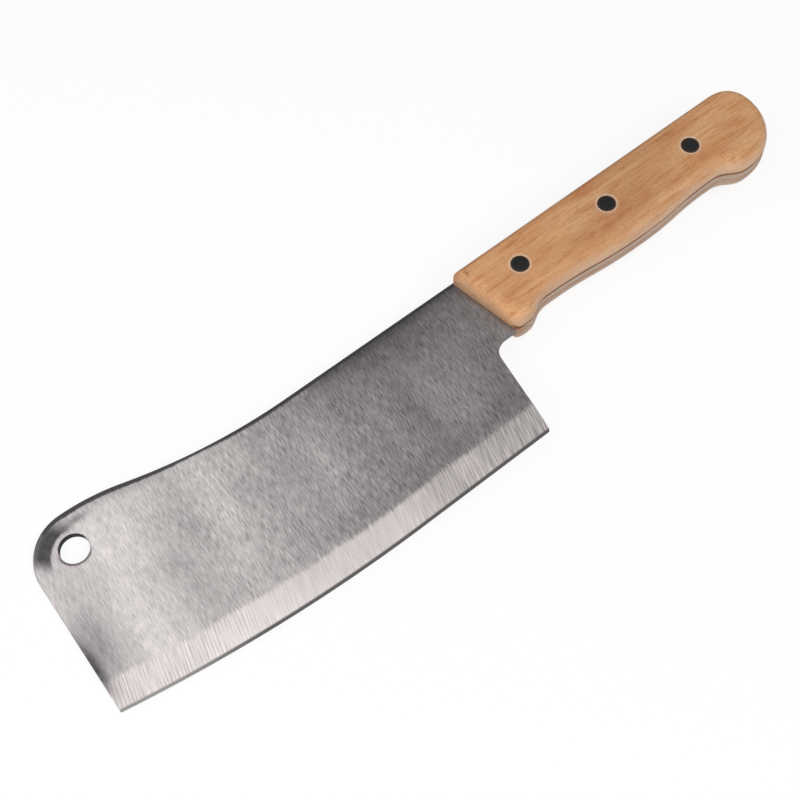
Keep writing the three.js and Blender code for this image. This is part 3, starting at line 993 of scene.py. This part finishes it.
def makeHandleWood():
    look = woodLook
    material, tree, shader = newMaterial("oiledWood")
    vector, normal = drawnCoordinates(tree)
    x, y, z = partsOf(tree, vector)
    board = noiseOf(tree, vector, (48, 6, 6), detail=3.0, distortion=0.5)
    fibre = noiseOf(tree, vector, (7, 0.8, 0.8), detail=4.0, roughness=0.6)
    pores = noiseOf(tree, vector, (6, 0.45, 0.45), detail=2.0, shift=(3.1, 7.7, 1.3))
    flame = noiseOf(
        tree, vector, (18, 2.0, 2.0), detail=4.0, roughness=0.6, distortion=0.4, shift=(8.3, 2.9, 5.1),
    )
    blotch = noiseOf(tree, vector, (6, 2.4, 2.4), detail=4.0, roughness=0.6, shift=(1.7, 4.2, 9.4))
    speck = noiseOf(tree, vector, (0.9, 0.5, 0.5), detail=2.0)
    colour = mixColour(tree, remap(tree, board, 0.3, 0.7), look["pale"], look["mid"])
    colour = mixColour(tree, remap(tree, blotch, 0.45, 0.75, 0.0, 0.5), colour, look["pink"])
    colour = mixColour(tree, remap(tree, fibre, 0.4, 0.8, 0.0, 0.65), colour, look["deep"])
    strong = remap(tree, flame, 0.48, 0.72, 0.0, 0.6)
    # painted shade: darker towards the spine side
    strong = plus(tree, strong, remap(tree, y, -7.0, -1.0, 0.0, 0.25))
    for streakX, streakY, length, width, strength in look["streaks"]:
        spot = useGroup(tree, softSpot, vector, streakX, streakY, length, width)
        ragged = times(tree, spot, remap(tree, blotch, 0.3, 0.65, 0.3, strength))
        strong = highest(tree, strong, ragged)
    colour = mixColour(tree, strong, colour, look["streakAndShade"])
    colour = mixColour(tree, remap(tree, pores, 0.6, 0.72, 0.0, 0.38), colour, look["streakAndShade"])
    tone = remap(tree, speck, 0.3, 0.7, 0.92, 1.08)
    tone = times(tree, tone, remap(tree, x, 8.0, 45.0, 0.97, 0.92))
    colour = tint(tree, colour, shadeSpots(tree, vector, tone, look["spots"]))
    normalX, normalY, normalZ = partsOf(tree, normal)
    # painted highlight on the rounded edges, strongest on the belly side, which faces the light
    sheenAndWear = useGroup(tree, edgeSheenAndWear, vector, normal, *look["sheenAndWear"])
    lowSide = remap(tree, normalY, -0.5, 0.1, 0.7, 0.08)
    colour = mixColour(tree, times(tree, sheenAndWear, lowSide), colour, look["wornAndSheen"])
    outward = remap(tree, plus(tree, normalX, normalY), 0.35, 0.7)
    rim = times(tree, outward, remap(tree, normalZ, 0.5, 0.88, 0.5, 0.0))
    colour = mixColour(tree, rim, colour, look["rim"])
    mark = useGroup(tree, softSpot, vector, *look["markPlace"])
    colour = mixColour(tree, times(tree, mark, 0.75), colour, look["mark"])
    for rivetX, rivetY in rivetCentres():
        ring = useGroup(tree, ringMark, vector, rivetX, rivetY, rivetShape["headRadius"] + 0.45, 0.35)
        colour = mixColour(tree, times(tree, ring, 0.45), colour, look["ring"])

    # Darker line along the steel, and painted shade on the lower scale's belly side
    above = calc(tree, "SUBTRACT", calc(tree, "ABSOLUTE", z), halfSheet)
    sides = remap(tree, normalX, -0.9, -0.5, 0.1, 1.0)
    sides = highest(tree, sides, remap(tree, y, -26.0, -23.5, 1.0, 0.0))
    blots = noiseOf(tree, vector, (17, 9, 9))
    jointLine = times(tree, sides, remap(tree, blots, 0.35, 0.6, 0.65, 1.0))
    jointLine = times(tree, jointLine, remap(tree, z, -1.0, 1.0, 0.35, 1.0))
    # a darker line along the steel, stronger on the upper scale
    joint = times(tree, remap(tree, above, 0.9, 1.9, 1.0, 0.0), jointLine)
    # painted shade: the lower scale's belly side greyer
    under = times(tree, remap(tree, z, -1.2, -0.9, 0.75, 0.0), remap(tree, z, -7.8, -5.5))
    under = times(tree, under, remap(tree, normalY, -0.2, 0.3, 1.0, 0.0))
    colour = mixColour(tree, under, colour, look["under"])
    colour = mixColour(tree, joint, colour, look["joint"])
    roughness = remap(tree, fibre, 0.3, 0.7, *look["roughness"])
    finishShader(tree, shader, look, colour, roughness, plus(tree, fibre, pores))
    return material


rivetLook = {
    "dark": linear(20, 21, 21),
    "rim": linear(58, 42, 32),
    "rubbed": linear(54, 55, 56),
    "sheenAndWear": (0.1, 0.6),
    "roughness": (0.42, 0.6),
    "metallic": 0.2,
    "specular": 0.25,
    "bump": (0.1, 0.0001),
}


def makeRivetBlack():
    look = rivetLook
    material, tree, shader = newMaterial("blackenedRivet")
    vector, normal = drawnCoordinates(tree)
    speck = noiseOf(tree, vector, (0.7, 0.5, 0.7), detail=4.0)
    sheenAndWear = useGroup(tree, edgeSheenAndWear, vector, normal, *look["sheenAndWear"])
    colour = mixColour(tree, remap(tree, speck, 0.55, 0.8, 0.0, 0.5), look["dark"], look["rubbed"])
    colour = mixColour(tree, times(tree, sheenAndWear, 0.5), colour, look["rubbed"])
    for x, y in rivetCentres():
        rim = useGroup(tree, ringMark, vector, x, y, rivetShape["headRadius"], 0.45)
        colour = mixColour(tree, times(tree, rim, 0.8), colour, look["rim"])
    roughness = remap(tree, speck, 0.3, 0.7, *look["roughness"])
    finishShader(tree, shader, look, colour, roughness, speck, look["metallic"])
    return material


steelBody = makeSteelBody()
steelSpine = makeSteelSpine()
steelTang = makeSteelTang()
handleWood = makeHandleWood()
rivetBlack = makeRivetBlack()
print("materials ready")

makeBlade()
makeScale("upperScale", "upper_scale", 1)
makeScale("lowerScale", "lower_scale", -1)
makeRivets()

# Floor, lights and camera
stageSet = {
    "size": 6.0,
    "restX": 0.0245,  # the lower scale touches the floor here
    "gap": 0.00003,
    "paper": (0.93, 0.93, 0.93, 1),
    "glow": 0.85,  # share of plain white that the camera sees in the floor
    "sky": (1.0, 0.985, 0.985, 1),
    "world": 0.2,  # light from all round
    "mirrored": 0.7,  # how bright it looks in reflections
}
lightSet = {  # place, aim, width, height, watts
    "overhead": (Vector((-0.52, 0.2, 0.8)), Vector((-0.52, 0.2, 0.0)), 1.0, 1.3, 4.4),
    "left side": (Vector((-0.9, -0.35, 0.45)), Vector((0.02, 0.0, 0.0)), 0.7, 0.7, 3.0),
    "camera side": (Vector((0.15, -0.6, 1.0)), Vector((0.0, 0.0, 0.0)), 0.8, 0.8, 8.6),
}
cameraSet = {
    "place": Vector((-0.13475, -0.17477, 0.43022)),
    "aim": Vector((-0.0189, 0.00184, 0.0093)),
    "up": Vector((0.559676, 0.69791, 0.44686)),
    "lens": 67.815,
}


def makeFloor():
    tipX = bladeLow.x
    slope = bladeLow.z / (stageSet["restX"] - tipX)
    half = stageSet["size"] / 2
    bm = bmesh.new()
    bmesh.ops.create_grid(bm, x_segments=1, y_segments=1, size=half)
    for vert in bm.verts:
        vert.co.z = (stageSet["restX"] - vert.co.x) * slope - stageSet["gap"]
    mesh = bpy.data.meshes.new("floor")
    bm.to_mesh(mesh)
    bm.free()
    floor = bpy.data.objects.new("floor", mesh)
    scene.collection.objects.link(floor)
    material, tree, shader = newMaterial("palePaper")
    shader.inputs["Base Color"].default_value = stageSet["paper"]
    shader.inputs["Roughness"].default_value = 0.9
    shader.inputs["Specular IOR Level"].default_value = 0.1
    path = addNode(tree, "LightPath")
    seen = highest(tree, path.outputs["Is Camera Ray"], path.outputs["Is Glossy Ray"])
    seen = highest(tree, seen, path.outputs["Is Transmission Ray"])
    glow = addNode(tree, "Emission")
    mixed = addNode(tree, "MixShader")
    feed(tree, mixed.inputs[0], times(tree, seen, stageSet["glow"]))
    feed(tree, mixed.inputs[1], shader.outputs[0])
    feed(tree, mixed.inputs[2], glow.outputs[0])
    feed(tree, tree.nodes["Material Output"].inputs["Surface"], mixed.outputs[0])
    mesh.materials.append(material)


def makeLights():
    world = bpy.data.worlds.new("studio")
    world.use_nodes = True
    scene.world = world
    tree = world.node_tree
    sky = tree.nodes["Background"].inputs
    sky["Color"].default_value = stageSet["sky"]
    path = addNode(tree, "LightPath")
    extra = stageSet["mirrored"] - stageSet["world"]
    strength = calc(tree, "MULTIPLY_ADD", path.outputs["Is Glossy Ray"], extra, stageSet["world"])
    feed(tree, sky["Strength"], highest(tree, strength, path.outputs["Is Camera Ray"]))
    for name, (place, aim, width, height, watts) in lightSet.items():
        lamp = bpy.data.lights.new(name, "AREA")
        lamp.shape = "RECTANGLE"
        lamp.size = width
        lamp.size_y = height
        lamp.energy = watts
        light = bpy.data.objects.new(name, lamp)
        light.location = place
        light.rotation_euler = (aim - place).to_track_quat("-Z", "Y").to_euler()
        scene.collection.objects.link(light)


def makeCamera():
    lens = bpy.data.cameras.new("camera")
    lens.sensor_width = 36
    lens.lens = cameraSet["lens"]
    lens.clip_start = 0.01
    camera = bpy.data.objects.new("camera", lens)
    forward = (cameraSet["aim"] - cameraSet["place"]).normalized()
    right = forward.cross(cameraSet["up"]).normalized()
    up = right.cross(forward)
    turned = Matrix((right, up, -forward)).transposed().to_4x4()
    camera.matrix_world = Matrix.Translation(cameraSet["place"]) @ turned
    scene.collection.objects.link(camera)
    scene.camera = camera


makeFloor()
makeLights()
makeCamera()
scene.view_settings.view_transform = "Standard"
print("stage ready")
